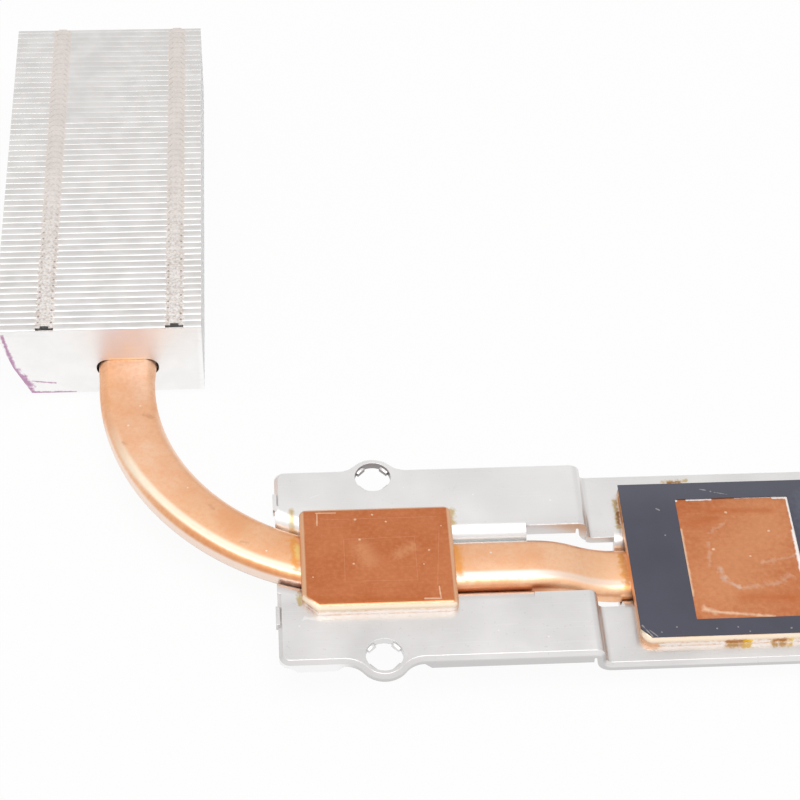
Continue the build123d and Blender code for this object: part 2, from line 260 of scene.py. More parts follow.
def axes(tree, vector):
    outputs = add(tree, "ShaderNodeSeparateXYZ", {0: vector}).outputs
    return outputs["X"], outputs["Y"], outputs["Z"]


def length_of(tree, x, y):
    return vectors(tree, "LENGTH", add(tree, "ShaderNodeCombineXYZ", {0: x, 1: y}).outputs[0])


def ramped(tree, value, low, high, to_low=0.0, to_high=1.0):
    """Value from low to high, turned smoothly into to_low to to_high."""
    inputs = {"Value": value, "From Min": low, "From Max": high, "To Min": to_low, "To Max": to_high}
    return add(tree, "ShaderNodeMapRange", inputs, interpolation_type="SMOOTHSTEP").outputs["Result"]


def noise(tree, position, scale, detail=2.0, rough=0.5):
    inputs = {"Vector": position, "Scale": scale, "Detail": detail, "Roughness": rough}
    return add(tree, "ShaderNodeTexNoise", inputs).outputs[0]


def as_color(value):
    return (*value, 1.0) if isinstance(value, tuple) else value


def blend(tree, share, below, above, kind="MIX"):
    """One colour over another by a share; each is written out or is another node's output."""
    inputs = {0: share, 6: as_color(below), 7: as_color(above)}
    return add(tree, "ShaderNodeMix", inputs, data_type="RGBA", blend_type=kind).outputs[2]


def deepen(tree, color, share, tint):
    """Multiplies a share of a tint into the colour."""
    return blend(tree, share, color, tint, "MULTIPLY")


def position_mm(tree):
    place = add(tree, "ShaderNodeTexCoord").outputs["Object"]
    return vectors(tree, "SCALE", place, scale=1 / MM)


def new_group(name, inputs, outputs):
    group = bpy.data.node_groups.new(name, "ShaderNodeTree")
    for label, value in inputs:
        kind = "NodeSocketVector" if isinstance(value, tuple) else "NodeSocketFloat"
        group.interface.new_socket(name=label, in_out="INPUT", socket_type=kind).default_value = value
    for label in outputs:
        group.interface.new_socket(name=label, in_out="OUTPUT", socket_type="NodeSocketFloat")
    return group, group.nodes.new("NodeGroupInput").outputs, group.nodes.new("NodeGroupOutput").inputs


def make_stretched_grain():
    """Grain, drawn out along one direction: the marks of rolling and rubbing."""
    inputs = [("Position", (0, 0, 0)), ("Stretch", (1, 1, 1)), ("Detail", 3.0)]
    group, given, out = new_group("stretched_grain", inputs, ["Value"])
    stretched = vectors(group, "MULTIPLY", given["Position"], given["Stretch"])
    group.links.new(noise(group, stretched, 1.0, given["Detail"], 0.6), out["Value"])
    return group


def make_fine_scratches():
    """Thin broken scratches in two directions."""
    group, given, out = new_group("fine_scratches", [("Position", (0, 0, 0)), ("Amount", 0.5)], ["Mask"])
    lines = []
    for turn, bend in ((0.5, 1.3), (-0.9, 2.1)):
        laid = {"Vector": given["Position"], "Rotation": (0, 0, turn), "Scale": (0.16, 5.0, 1.0)}
        turned = add(group, "ShaderNodeMapping", laid).outputs[0]
        waves = add(group, "ShaderNodeTexNoise", {"Vector": given["Position"], "Scale": 0.12}).outputs[1]
        wavy = vectors(group, "ADD", turned, vectors(group, "SCALE", waves, scale=bend))
        lines.append(ramped(group, noise(group, wavy, 1.0, 1.0), 0.67, 0.74))
    both = reckon(group, "MAXIMUM", *lines)
    group.links.new(times(group, both, given["Amount"]), out["Mask"])
    return group


def make_streak():
    """A mark along a line from one place to another, with a ragged or a clean edge."""
    inputs = [("Position", (0, 0, 0)), ("From", (0, 0, 0)), ("To", (1, 0, 0)),
              ("Width", 0.3), ("Soft", 0.4), ("Ragged", 0.5), ("Noise", 0.5)]
    group, given, out = new_group("streak", inputs, ["Mask"])
    offset = vectors(group, "SUBTRACT", given["Position"], given["From"])
    line = vectors(group, "SUBTRACT", given["To"], given["From"])
    length = reckon(group, "ADD", vectors(group, "DOT_PRODUCT", line, line), 1e-6)
    share = reckon(group, "DIVIDE", vectors(group, "DOT_PRODUCT", offset, line), length, clamp=True)
    along = vectors(group, "SCALE", line, scale=share)
    off = vectors(group, "LENGTH", vectors(group, "SUBTRACT", offset, along))
    distance = reckon(group, "DIVIDE", off, given["Width"])
    rag = times(group, reckon(group, "SUBTRACT", given["Noise"], 0.5), times(group, given["Ragged"], 3.0))
    edge = reckon(group, "SUBTRACT", reckon(group, "ADD", distance, rag), 1.0)
    inside = reckon(group, "DIVIDE", times(group, edge, -1.0), given["Soft"], clamp=True)
    group.links.new(inside, out["Mask"])
    return group


stretched_grain = make_stretched_grain()
fine_scratches = make_fine_scratches()
streak = make_streak()

# The noise that leaves the edge of a mark straight
STRAIGHT = 0.5


def grain(tree, position, stretch, detail=3.0):
    inputs = {"Position": position, "Stretch": stretch, "Detail": detail}
    return add(tree, "ShaderNodeGroup", inputs, node_tree=stretched_grain).outputs[0]


def scratches(tree, position, amount):
    inputs = {"Position": position, "Amount": amount}
    return add(tree, "ShaderNodeGroup", inputs, node_tree=fine_scratches).outputs[0]


def marks(tree, position, rag, rows):
    """One mask of many marks. A row is from, to, width, softness and raggedness, in millimetres."""
    total = None
    for start, end, width, soft, ragged in rows:
        inputs = {"Position": position, "From": start, "To": end, "Width": width, "Soft": soft,
                  "Ragged": ragged, "Noise": rag}
        mask = add(tree, "ShaderNodeGroup", inputs, node_tree=streak).outputs[0]
        total = mask if total is None else reckon(tree, "MAXIMUM", total, mask)
    return total


def dots(z, radius, *places):
    """Rows for round specks at one level."""
    return [((x, y, z), (x + 0.01, y, z), radius, 0.4, 0.6) for x, y in places]


def painted(tree, color, position, rag, table):
    """The colour with marks on it: each row of the table has a share, a tint and the marks' rows."""
    for share, tint, rows in table:
        color = blend(tree, times(tree, marks(tree, position, rag, rows), share), color, tint)
    return color


def side_faces(tree):
    """1 on upright faces, 0 on level ones."""
    normal_z = axes(tree, add(tree, "ShaderNodeNewGeometry").outputs["Normal"])[2]
    return ramped(tree, reckon(tree, "ABSOLUTE", normal_z), 0.25, 0.6, 1.0, 0.0)


def rim_of(tree, place, centre, half, width):
    """1 on the outer rim of a plate seen from above, fading inwards over the width."""
    from_centre = vectors(tree, "ABSOLUTE", vectors(tree, "SUBTRACT", place, centre))
    x, y = axes(tree, vectors(tree, "SUBTRACT", from_centre, half))[:2]
    inside = reckon(tree, "MAXIMUM", x, y)
    on_plate = reckon(tree, "LESS_THAN", inside, 0.5)
    return times(tree, ramped(tree, inside, -width, -0.6 * width), on_plate)


def finish_material(material, color, rough, metal, height, depth):
    tree = material.node_tree
    bump = add(tree, "ShaderNodeBump", {"Height": height, "Strength": 1.0, "Distance": depth})
    inputs = {"Base Color": color, "Roughness": rough, "Metallic": metal, "Normal": bump.outputs[0]}
    shader = add(tree, "ShaderNodeBsdfPrincipled", inputs)
    add(tree, "ShaderNodeOutputMaterial", {0: shader.outputs[0]})
    return material


# The object's own materials

WHITE = (1.0, 1.0, 1.0)
SHEET_DULL = (0.77, 0.75, 0.74)
SHEET_BRIGHT = (0.83, 0.81, 0.80)
SHEET_COLOR = (0.80, 0.78, 0.77)
SHEET_SCUFFED = (0.95, 0.94, 0.93)
# Colour of the upright cut faces: duller sheared metal and painted shade
SHEARED_AND_SHADED = (0.60, 0.585, 0.575)
FOIL_DULL = (0.76, 0.74, 0.725)
FOIL_BRIGHT = (0.83, 0.81, 0.795)
FOIL_COLOR = (0.80, 0.78, 0.765)
# Colours of the fins' upright faces, made paler by painted light
LIT_FOIL_WEB_DULL = (0.955, 0.95, 0.94)
LIT_FOIL_WEB = (0.99, 0.985, 0.98)
INK = (0.52, 0.16, 0.42)
SOLDER = (0.96, 0.92, 0.88)
# Painted highlights on the plates' rims
COPPER_RIM_HIGHLIGHT = (0.97, 0.66, 0.42)
BRIGHT_RIM_HIGHLIGHT = (1.0, 0.87, 0.70)
PIPE_COLOR = (0.90, 0.50, 0.29)
PIPE_PALE = (0.95, 0.62, 0.42)
PLATE_COLOR = (0.50, 0.152, 0.056)
PLATE_PALE = (0.72, 0.33, 0.17)
PLATE_RUBBED = (0.80, 0.42, 0.22)
PLATE_SCRATCHED = (0.95, 0.72, 0.52)
FLUX_YELLOW = (0.55, 0.36, 0.05)
FLUX_BROWN = (0.30, 0.10, 0.025)
PALE_RESIDUE = (0.86, 0.82, 0.78)

SHEET_MARKS = [
    (0.7, FLUX_YELLOW, [
        ((-10.7, 8.6, UPPER_Z), (-10.6, 7.4, UPPER_Z - 0.2), 0.55, 0.9, 0.5),
        ((-10.6, 7.4, UPPER_Z - 0.3), (-10.5, 6.3, UPPER_Z - 1.3), 0.65, 0.8, 0.5),
        ((-10.0, -3.6, UPPER_Z), (-10.1, -6.1, UPPER_Z), 0.38, 0.8, 0.9),
        ((9.9, 8.0, UPPER_Z), (9.9, 6.1, UPPER_Z), 0.75, 0.8, 0.8),
        ((38.9, 13.75, LOW_Z), (41.9, 13.95, LOW_Z), 0.45, 0.8, 0.9),
        ((43.6, -12.5, LOW_Z), (46.0, -12.6, LOW_Z), 0.6, 0.8, 1.0),
        ((49.0, -12.5, LOW_Z), (51.0, -12.6, LOW_Z), 0.5, 0.8, 1.0),
        ((31.9, 11.0, LOW_Z), (31.9, 6.6, LOW_Z), 0.45, 0.8, 1.0),
    ]),
    (0.75, FLUX_BROWN, [
        ((39.4, 13.7, LOW_Z), (41.0, 13.8, LOW_Z), 0.28, 0.8, 0.9),
        ((-12.5, -2.0, UPPER_Z - 1.2), (-9.6, -2.9, UPPER_Z - 1.2), 0.5, 0.8, 0.8),
        ((32.1, 9.0, LOW_Z), (32.1, 7.2, LOW_Z), 0.35, 0.8, 1.0),
        ((-13.0, 8.7, UPPER_Z), (-12.9, 8.3, UPPER_Z), 0.3, 0.5, 0.5),
    ]),
    (0.8, SHEET_SCUFFED, [
        ((19.5, 5.2, UPPER_Z - 0.1), (26.9, 5.2, UPPER_Z - 0.1), 0.16, 0.6, 1.2),
        ((-7.0, 11.2, UPPER_Z), (-8.2, 10.7, UPPER_Z), 0.06, 0.9, 0.8),
        ((-9.6, -8.3, UPPER_Z), (-6.0, -8.5, UPPER_Z), 0.28, 0.7, 1.4),
        ((27.6, 4.95, LOW_Z), (31.1, 4.95, LOW_Z), 0.16, 0.6, 1.2),
    ] + dots(UPPER_Z, 0.14, (4.0, 12.0), (13.0, 10.5), (14.4, -11.0), (20.5, -12.2), (-10.2, -9.4),
             (23.0, 9.2))),
]
# Painted shade on the trough's rolled edge and a painted bluish reflection on its wall, right of the
# processor plate
TROUGH_PAINTED_SHADE_AND_REFLECTION = [
    (0.85, (0.48, 0.475, 0.47), [((9.6, 5.05, UPPER_Z), (19.5, 5.05, UPPER_Z), 0.45, 1.0, 0.0)]),
    (0.9, (0.70, 0.90, 1.0), [((9.4, 4.1, UPPER_Z - 1.6), (19.6, 4.1, UPPER_Z - 1.6), 0.9, 0.5, 0.0)]),
]
FAR_EAR = [((0.1, 13.9, UPPER_Z + 0.2), (0.1, 13.9, UPPER_Z - 1.5), 2.75, 0.1, 0.0)]
NEAR_EAR = [((0.1, -14.0, UPPER_Z + 0.2), (0.1, -14.0, UPPER_Z - 1.5), 2.75, 0.1, 0.0)]


def shade_sheet_parts(tree, color, place, upright):
    """Painted shade on the sheet's near part, by the processor plate and on its lower step; on the sheared
    near edge, painted shade on its low part and painted light on its left part.
    """
    x, y, z = axes(tree, place)
    shaded_near_part = ramped(tree, y, -6.5, -4.5, 1.0, 0.0)
    color = deepen(tree, color, shaded_near_part, (0.955, 0.955, 0.955))
    shaded_by_plate = times(tree, shaded_near_part, ramped(tree, x, 2.0, 10.0, 1.0, 0.0))
    color = deepen(tree, color, shaded_by_plate, (0.95, 0.95, 0.95))
    color = deepen(tree, color, ramped(tree, x, 26.5, 27.5), (0.965, 0.965, 0.965))
    near_edge = times(tree, upright, reckon(tree, "LESS_THAN", y, -13.6))
    shaded_low_edge = times(tree, near_edge, ramped(tree, z, -2.4, -2.0, 0.6, 0.0), ramped(tree, x, -5.0, -2.0))
    color = blend(tree, shaded_low_edge, color, (0.58, 0.57, 0.57))
    lit_left_edge = times(tree, near_edge, ramped(tree, x, -6.0, -3.0, 0.9, 0.0))
    return blend(tree, lit_left_edge, color, WHITE)


def shade_ear_holes(tree, color, place, upright):
    """Painted shade on the walls of the far ear's hole; a little painted shade and more painted light on
    those of the near ear's.
    """
    far_ear = marks(tree, place, STRAIGHT, FAR_EAR)
    near_ear = marks(tree, place, STRAIGHT, NEAR_EAR)
    dark = reckon(tree, "ADD", times(tree, far_ear, 0.75), times(tree, near_ear, 0.12))
    color = blend(tree, times(tree, dark, upright), color, (0.16, 0.13, 0.13))
    return blend(tree, times(tree, near_ear, upright, 0.5), color, (0.95, 0.95, 0.95))


def make_sheet():
    """Rolled aluminium sheet, rubbed and flecked, with flux by the copper plates, and painted light and shade
    on its far and near parts, cut faces, trough, edges and ear holes.
    """
    material = new_material("bracket_sheet")
    tree = material.node_tree
    place = position_mm(tree)
    patches = noise(tree, place, 0.09, 3.0)
    fine = grain(tree, place, (0.5, 2.6, 2.6))
    rag = noise(tree, place, 1.6, 3.0)
    lines = scratches(tree, place, 0.3)
    speck = ramped(tree, noise(tree, place, 2.3, 1.0), 0.70, 0.76)
    upright = side_faces(tree)
    color = blend(tree, ramped(tree, patches, 0.35, 0.65), SHEET_DULL, SHEET_BRIGHT)
    color = blend(tree, ramped(tree, fine, 0.3, 0.7, 0.0, 0.5), color, SHEET_COLOR)
    color = blend(tree, lines, color, (0.90, 0.89, 0.88))
    color = blend(tree, times(tree, speck, 0.25), color, (0.5, 0.48, 0.46))
    # Painted light: the sheet's far part is painted paler.
    lit_far_part = ramped(tree, axes(tree, place)[1], 5.5, 7.0, 0.0, 0.45)
    color = blend(tree, lit_far_part, color, (0.86, 0.845, 0.835))
    color = painted(tree, color, place, rag, SHEET_MARKS)
    # Upright cut faces: duller sheared metal, darkened further by painted shade.
    color = blend(tree, times(tree, upright, 0.35), color, SHEARED_AND_SHADED)
    # Painted shade and painted reflection in the trough.
    color = painted(tree, color, place, STRAIGHT, TROUGH_PAINTED_SHADE_AND_REFLECTION)
    color = shade_sheet_parts(tree, color, place, upright)
    color = shade_ear_holes(tree, color, place, upright)
    rough = reckon(tree, "ADD", ramped(tree, patches, 0.3, 0.7, 0.30, 0.38), times(tree, lines, -0.08))
    return finish_material(material, color, rough, 1.0, reckon(tree, "ADD", fine, lines), 0.004 * MM)


# A painted bluish reflection on the front fin's face, in front of the pipe
PAINTED_PIPE_REFLECTION = [((-32.2, FRONT_Y, -1.0), (-32.2, FRONT_Y, 4.6), 4.6, 0.6, 0.0)]
SOLDER_COLLAR = [((-34.6, FRONT_Y, -1.2), (-30.0, FRONT_Y, -1.2), 0.24, 0.8, 0.4)]
INK_STROKES = [
    ((-48.7, FRONT_Y, 3.9), (-48.2, FRONT_Y, 0.4), 0.30, 0.7, 0.5),
    ((-48.2, FRONT_Y, 0.4), (-47.6, FRONT_Y, -2.9), 0.40, 0.7, 0.5),
    ((-47.6, FRONT_Y, -2.9), (-46.6, FRONT_Y, -5.0), 0.65, 0.7, 0.7),
    ((-47.2, FRONT_Y, -3.9), (-46.0, FRONT_Y, -6.2), 0.80, 0.7, 0.9),
    ((-46.2, FRONT_Y, -6.0), (-45.7, FRONT_Y, -7.4), 0.45, 0.7, 0.8),
    ((-45.9, FRONT_Y, -7.6), (-39.8, FRONT_Y, -7.75), 0.26, 0.7, 0.7),
    ((-46.2, FRONT_Y, -5.2), (-42.4, FRONT_Y, -5.8), 0.18, 0.9, 0.9),
]


def spot(tree, across, along, spot_across, spot_along, radius):
    """A round spot at a place across and along each fin's tab."""
    off_across = reckon(tree, "SUBTRACT", across, spot_across)
    off_along = reckon(tree, "SUBTRACT", along, spot_along)
    return ramped(tree, length_of(tree, off_across, off_along), 0.08, radius, 1.0, 0.0)


def shade_track(tree, color, track_x, place, rag, step, fade, on_top):
    """The worn and pitted row of locked tabs along one track of the stack, with painted shade in the hollows
    at the tabs' edges and a painted glint on each tab.
    """
    x, y = axes(tree, place)[:2]
    chips = noise(tree, place, 3.4, 2.0)
    across = reckon(tree, "ABSOLUTE", reckon(tree, "SUBTRACT", x, track_x))
    along = times(tree, reckon(tree, "SUBTRACT", step, 0.22), FIN_PITCH)
    band = times(tree, ramped(tree, across, 1.2, 1.5, 1.0, 0.0), on_top)
    color = blend(tree, times(tree, band, 0.48), color, (0.83, 0.71, 0.64))
    chipped = times(tree, ramped(tree, chips, 0.50, 0.60), band, fade)
    color = blend(tree, times(tree, chipped, 0.65), color, (1.0, 0.985, 0.965))
    pitted = times(tree, ramped(tree, chips, 0.36, 0.44, 1.0, 0.0), band, fade)
    color = blend(tree, times(tree, pitted, 0.42), color, (0.56, 0.45, 0.39))
    uneven = times(tree, ramped(tree, rag, 0.4, 0.6, 0.1, 0.8), ramped(tree, y, 45.0, 70.0, 1.0, 0.1))
    hollow_shade = times(tree, spot(tree, across, along, 0.86, 0.0, 0.22), on_top, uneven)
    color = blend(tree, hollow_shade, color, (0.26, 0.16, 0.11))
    glint = times(tree, spot(tree, across, along, 0.36, 0.6, 0.24), on_top, fade, 0.7)
    return blend(tree, glint, color, (1.0, 0.98, 0.96))


def make_foil():
    """Aluminium foil: folded tops with a painted highlight and painted shade at each fold that fade into the
    distance, faces whitened by painted light, a painted reflection on the front fin, worn tab rows and ink.
    """
    material = new_material("fin_foil")
    tree = material.node_tree
    place = position_mm(tree)
    x, y, z = axes(tree, place)
    patches = noise(tree, place, 0.35, 3.0)
    fine = grain(tree, place, (0.7, 3.0, 3.0))
    rag = noise(tree, place, 1.8, 3.0)
    upright = side_faces(tree)
    on_top = ramped(tree, z, TOP_Z - 0.3, TOP_Z - 0.15)
    fade = ramped(tree, y, 38.0, 74.0, 1.0, 0.2)
    step = reckon(tree, "FRACT", reckon(tree, "DIVIDE", reckon(tree, "SUBTRACT", y, FRONT_Y), FIN_PITCH))
    color = blend(tree, ramped(tree, patches, 0.35, 0.65), FOIL_DULL, FOIL_BRIGHT)
    color = blend(tree, ramped(tree, fine, 0.35, 0.65, 0.0, 0.5), color, FOIL_COLOR)
    # Painted shade in the hollow behind each fold and a painted highlight along each fold.
    valley_shade = times(tree, ramped(tree, step, 0.35, 0.55), fade, on_top)
    color = deepen(tree, color, valley_shade, (0.93, 0.925, 0.92))
    lit = times(tree, ramped(tree, step, 0.10, 0.38, 0.65, 0.0), fade, on_top)
    color = blend(tree, lit, color, (1.0, 0.995, 0.985))
    # Painted light: the upright faces are painted nearly white, and white at the stack's right end.
    lit_web_and_solder = blend(tree, ramped(tree, patches, 0.35, 0.65), LIT_FOIL_WEB_DULL, LIT_FOIL_WEB)
    lit_web_and_solder = blend(tree, ramped(tree, x, -22.8, -22.3), lit_web_and_solder, WHITE)
    painted_reflection = times(tree, marks(tree, place, STRAIGHT, PAINTED_PIPE_REFLECTION), 0.85)
    lit_web_and_solder = blend(tree, painted_reflection, lit_web_and_solder, (0.78, 0.83, 0.95))
    lit_web_and_solder = blend(tree, marks(tree, place, rag, SOLDER_COLLAR), lit_web_and_solder, (1.0, 0.95, 0.84))
    color = blend(tree, upright, color, lit_web_and_solder)
    for track_x in FIN_TRACKS:
        color = shade_track(tree, color, track_x, place, rag, step, fade, on_top)
    ink = marks(tree, place, rag, INK_STROKES)
    color = blend(tree, times(tree, ink, 0.75), color, INK)
    color = blend(tree, scratches(tree, place, 0.25), color, (0.9, 0.89, 0.885))
    rough = reckon(tree, "ADD", ramped(tree, patches, 0.3, 0.7, 0.34, 0.42), times(tree, upright, 0.12))
    metal = reckon(tree, "SUBTRACT", 1.0, times(tree, ink, 0.7))
    return finish_material(material, color, rough, metal, fine, 0.004 * MM)


PIPE_MARKS = [
    (0.75, (0.80, 0.33, 0.06), [
        ((10.1, 1.9, UPPER_Z), (10.2, -1.9, UPPER_Z), 0.9, 0.8, 0.5),
        ((-10.6, 3.9, UPPER_Z), (-10.3, -0.2, UPPER_Z), 0.9, 0.8, 0.9),
        ((31.7, 2.0, LOW_Z), (31.9, -3.0, LOW_Z), 0.7, 0.8, 0.9),
    ]),
    (0.6, (0.88, 0.70, 0.25), [((-10.1, 2.9, UPPER_Z), (-10.0, 1.2, UPPER_Z), 0.5, 0.8, 0.9)]),
    (0.35, (0.45, 0.20, 0.10), [
        ((-29.9, 25.6, UPPER_Z), (-28.6, 25.2, UPPER_Z), 0.45, 0.9, 1.0),
        ((-21.1, 9.9, UPPER_Z), (-20.7, 9.4, UPPER_Z), 0.45, 0.9, 1.0),
        ((-16.9, 3.9, UPPER_Z), (-16.3, 3.8, UPPER_Z), 0.4, 0.9, 1.0),
        ((-32.6, 21.0, UPPER_Z), (-32.2, 20.6, UPPER_Z), 0.35, 0.9, 1.0),
    ]),
    (0.7, (1.0, 0.86, 0.74),
     dots(UPPER_Z, 0.18, (-30.4, 27.3), (-31.9, 23.9), (-24.0, 13.0), (-14.0, 2.4), (14.5, 1.0),
          (24.0, -1.2))),
]


def off_pipe_line(tree, x, y):
    """Distance from the pipe's middle line, above 0 on the outer and near side of its bend."""
    centre_x, centre_y = BEND_CENTRE
    run_x = reckon(tree, "SUBTRACT", reckon(tree, "MINIMUM", x, centre_x), centre_x)
    run_y = reckon(tree, "SUBTRACT", reckon(tree, "MINIMUM", y, centre_y), centre_y)
    return reckon(tree, "SUBTRACT", length_of(tree, run_x, run_y), PIPE_BEND_RADIUS / MM)


def shade_pipe_lengths(tree, color, x, y, off, before_joggle):
    """Deeper copper in the bend and by the fins, redder copper past the joggle."""
    deep = times(tree, ramped(tree, y, 7.0, 18.0, 0.65, 0.0), ramped(tree, x, 0.0, 10.0, 1.0, 0.5))
    deep = times(tree, deep, before_joggle)
    color = deepen(tree, color, deep, (0.93, 0.82, 0.67))
    by_fins = times(tree, ramped(tree, y, 24.0, 28.0), ramped(tree, off, -1.5, 0.5))
    color = deepen(tree, color, by_fins, (1.0, 0.93, 0.84))
    return blend(tree, ramped(tree, x, 20.0, 25.0, 0.0, 0.45), color, (1.0, 0.60, 0.34))


def shade_gleam(tree, color, x, y, off, on_bend):
    """A painted gleam along the pipe's shoulder, and painted shade in a darker line outside it."""
    # Painted shade outside the gleam
    shoulder = times(tree, ramped(tree, off, 2.55, 2.8), ramped(tree, y, 3.0, 16.0, 1.0, 0.0), on_bend)
    color = deepen(tree, color, shoulder, (0.84, 0.70, 0.58))
    # Painted highlight: the gleam
    gleam_off = reckon(tree, "SUBTRACT", off, ramped(tree, y, 6.0, 22.0, 0.0, 0.55))
    gleam = times(tree, ramped(tree, gleam_off, 1.35, 2.0), ramped(tree, gleam_off, 2.5, 3.0, 1.0, 0.0))
    gleam = times(tree, gleam, ramped(tree, y, 14.0, 27.0, 1.0, 0.0), ramped(tree, x, 19.0, 25.0, 0.95, 0.5))
    tint = blend(tree, ramped(tree, x, -4.0, 6.0), (1.0, 0.91, 0.74), (1.0, 0.97, 0.92))
    return blend(tree, times(tree, gleam, 0.88), color, tint)


def shade_pipe_sides(tree, color, y, z, off, on_bend, on_run):
    """Painted reflections and shade on the pipe's flanks: the white floor's reflection by the bend with
    painted shade at its foot, painted shade of the dark trough by the run, painted shade on the far rim and
    painted light on the inner rim.
    """
    near_side = ramped(tree, off, 1.5, 2.5)
    floor_reflection = times(tree, ramped(tree, z, -2.4, -2.0, 1.0, 0.0), near_side, on_bend)
    color = blend(tree, times(tree, floor_reflection, 0.85), color, (0.95, 0.82, 0.73))
    foot_shade = times(tree, floor_reflection, ramped(tree, z, -3.8, -3.3, 1.0, 0.0), ramped(tree, y, 8.0, 24.0, 1.0, 0.3))
    color = blend(tree, foot_shade, color, (0.50, 0.43, 0.44))
    run_shade = times(tree, ramped(tree, z, -2.3, -1.9, 1.0, 0.0), near_side, on_run)
    color = blend(tree, run_shade, color, (0.62, 0.25, 0.12))
    shaded_far_rim = times(tree, ramped(tree, off, -3.1, -2.6, 1.0, 0.0), on_run, 0.8)
    color = blend(tree, shaded_far_rim, color, (0.66, 0.55, 0.50))
    lit_inner_rim = times(tree, ramped(tree, off, -3.5, -2.7, 0.6, 0.0), on_bend)
    return blend(tree, lit_inner_rim, color, (0.96, 0.76, 0.62))


def make_pipe_copper():
    """Bright drawn copper with a painted gleam along its bend, painted reflections and shade on its flanks,
    and flux where it goes under the plates.
    """
    material = new_material("pipe_copper")
    tree = material.node_tree
    place = position_mm(tree)
    x, y, z = axes(tree, place)
    patches = noise(tree, place, 0.22, 3.0)
    small = noise(tree, place, 1.5, 4.0, 0.65)
    rag = noise(tree, place, 1.4, 3.0)
    off = off_pipe_line(tree, x, y)
    before_joggle = ramped(tree, x, 19.5, 24.0, 1.0, 0.0)
    on_bend = times(tree, ramped(tree, x, -10.8, -8.5, 1.0, 0.0), ramped(tree, y, 22.0, 28.0, 1.0, 0.0))
    on_run = times(tree, ramped(tree, x, 7.0, 8.0), before_joggle)
    color = blend(tree, ramped(tree, patches, 0.3, 0.7), PIPE_COLOR, PIPE_PALE)
    color = blend(tree, ramped(tree, small, 0.35, 0.7, 0.0, 0.45), color, (0.80, 0.40, 0.22))
    color = shade_pipe_lengths(tree, color, x, y, off, before_joggle)
    color = shade_gleam(tree, color, x, y, off, on_bend)
    color = shade_pipe_sides(tree, color, y, z, off, on_bend, on_run)
    color = painted(tree, color, place, rag, PIPE_MARKS)
    rough = ramped(tree, small, 0.3, 0.7, 0.34, 0.46)
    return finish_material(material, color, rough, 1.0, small, 0.012 * MM)


# Marks on the plates: pressed and rubbed patches, scratches, painted highlights on the rims, solder and burnt
# flux
CPU_PLATE_MARKS = [
    (0.35, PLATE_RUBBED, [
        ((-1.9, 1.2, 0), (-1.3, -0.6, 0), 1.9, 1.0, 0.5),
        ((2.6, 0.1, 0), (4.4, 1.2, 0), 1.2, 1.0, 0.5),
    ]),
    (0.45, (0.46, 0.12, 0.035), [((-8.8, -6.6, 0), (6.0, -6.9, 0), 0.7, 1.0, 0.5)]),
    (0.55, PLATE_SCRATCHED, [
        ((-7.6, 7.0, 0), (-5.1, 6.95, 0), 0.12, 0.7, 0.25),
        ((-7.45, 7.0, 0), (-7.5, 5.0, 0), 0.10, 0.7, 0.3),
        ((5.5, -6.9, 0), (7.5, -6.95, 0), 0.17, 0.7, 0.25),
        ((7.5, -6.95, 0), (7.4, -5.1, 0), 0.11, 0.7, 0.5),
    ] + dots(0, 0.16, (-2.6, 5.8), (1.3, 5.3), (-0.4, 6.5), (6.5, 0.6), (-3.1, -1.2), (-8.3, -3.1),
             (8.3, 4.4), (-2.2, 2.6), (5.7, -1.6))),
    (0.14, (0.85, 0.50, 0.32), [
        ((-4.2, 2.7, 0), (4.8, 2.8, 0), 0.10, 0.9, 0.4),
        ((-4.2, 2.7, 0), (-4.3, -3.9, 0), 0.10, 0.9, 0.4),
        ((-4.3, -3.9, 0), (4.8, -4.0, 0), 0.10, 0.9, 0.4),
        ((4.8, 2.8, 0), (4.8, -4.0, 0), 0.10, 0.9, 0.4),
        ((8.0, 3.7, 0), (7.2, -5.0, 0), 0.10, 0.9, 0.6),
        ((-7.0, 5.9, 0), (7.8, 5.9, 0), 0.09, 0.9, 0.6),
    ]),
    # Painted highlights on the rims
    (0.75, COPPER_RIM_HIGHLIGHT, [((-10.0, -6.0, 0), (-7.6, -8.3, 0), 0.75, 0.3, 0.1)]),
    (0.85, BRIGHT_RIM_HIGHLIGHT, [
        ((-7.7, -7.85, -0.35), (9.4, -7.85, -0.35), 0.5, 0.4, 0.15),
        ((-9.8, -6.0, -0.35), (-7.7, -7.85, -0.35), 0.5, 0.4, 0.15),
    ]),
    (0.9, SOLDER, [
        ((-8.0, -8.0, -1.15), (9.3, -8.0, -1.15), 0.55, 0.7, 0.3),
        ((-9.9, -6.2, -1.15), (-8.0, -8.0, -1.15), 0.5, 0.7, 0.3),
    ]),
]
